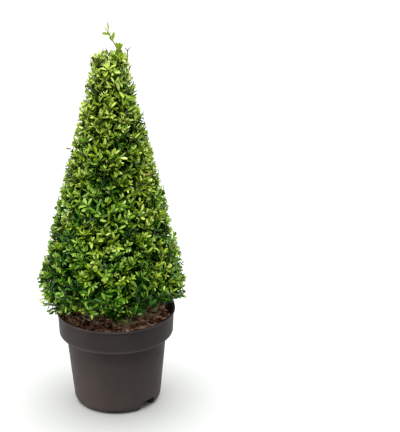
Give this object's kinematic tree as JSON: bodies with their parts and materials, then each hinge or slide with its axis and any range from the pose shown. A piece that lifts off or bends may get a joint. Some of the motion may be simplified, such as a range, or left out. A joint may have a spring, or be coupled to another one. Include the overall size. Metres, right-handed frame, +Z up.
{
  "type": "potted topiary",
  "caption": "Boxwood clipped to a slender cone with an untrimmed leader shoot, in a dark plastic nursery pot filled with bark compost.",
  "frame": {"origin": "centre of the pot's flat underside", "axes": "+Z up along the pot's axis, -Y the front, +X to the viewer's right; the drainage arch seen from the front is right of it"},
  "size_m": [0.3189, 0.3236, 0.852],
  "materials": {
    "pot_plastic": "matte",
    "bark_compost": "matte",
    "bark": "matte",
    "leaves": "satin"
  },
  "bodies": {
    "root": {"pot": "pot_plastic", "soil": "bark_compost", "trunk": "bark", "foliage_lower": "leaves", "foliage_middle": "leaves", "foliage_upper": "leaves", "leader_shoot": "leaves"}
  },
  "joints": []
}
